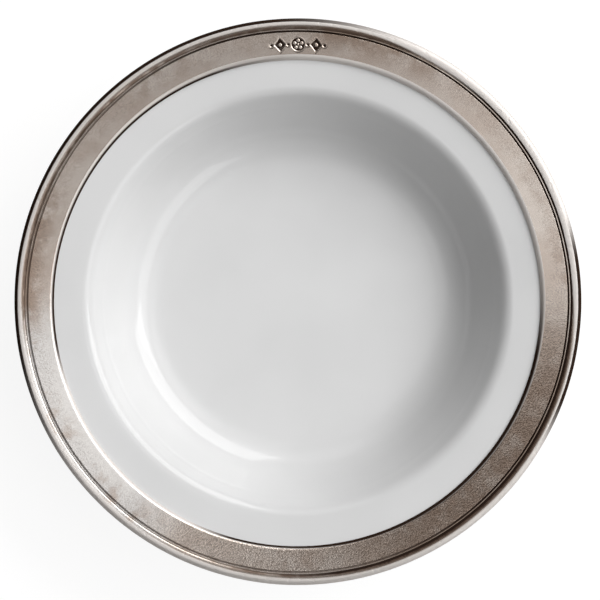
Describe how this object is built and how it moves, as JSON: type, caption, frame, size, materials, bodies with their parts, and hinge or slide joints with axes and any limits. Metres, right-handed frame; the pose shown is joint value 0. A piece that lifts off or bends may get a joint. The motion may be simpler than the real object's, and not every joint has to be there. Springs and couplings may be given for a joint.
{
  "type": "pasta bowl",
  "caption": "Round white glazed ceramic pasta bowl with a deep well and a wide flange that is bound in a beaded pewter rim, standing on a foot ring.",
  "frame": {"origin": "centre of the foot ring, on the surface that the bowl stands on", "axes": "+Z up along the bowl's axis; +X to the right and +Y up in the picture, which looks straight into the bowl"},
  "size_m": [0.24, 0.24, 0.0425],
  "materials": {
    "glaze": "white gloss glaze over a fired clay body, bare on the foot ring",
    "pewter": "cast pewter, warm grey, satin with a fine cast grain and a darker patina in the grooves",
    "bedding": "set food-safe sealing compound, matt",
    "solder": "soft tin solder, smooth and bright"
  },
  "bodies": {
    "root": {"ceramic_bowl": "glaze", "rim_band": "pewter", "back_ring": "pewter", "bedding_seal": "bedding", "solder_seam": "solder"}
  },
  "joints": []
}
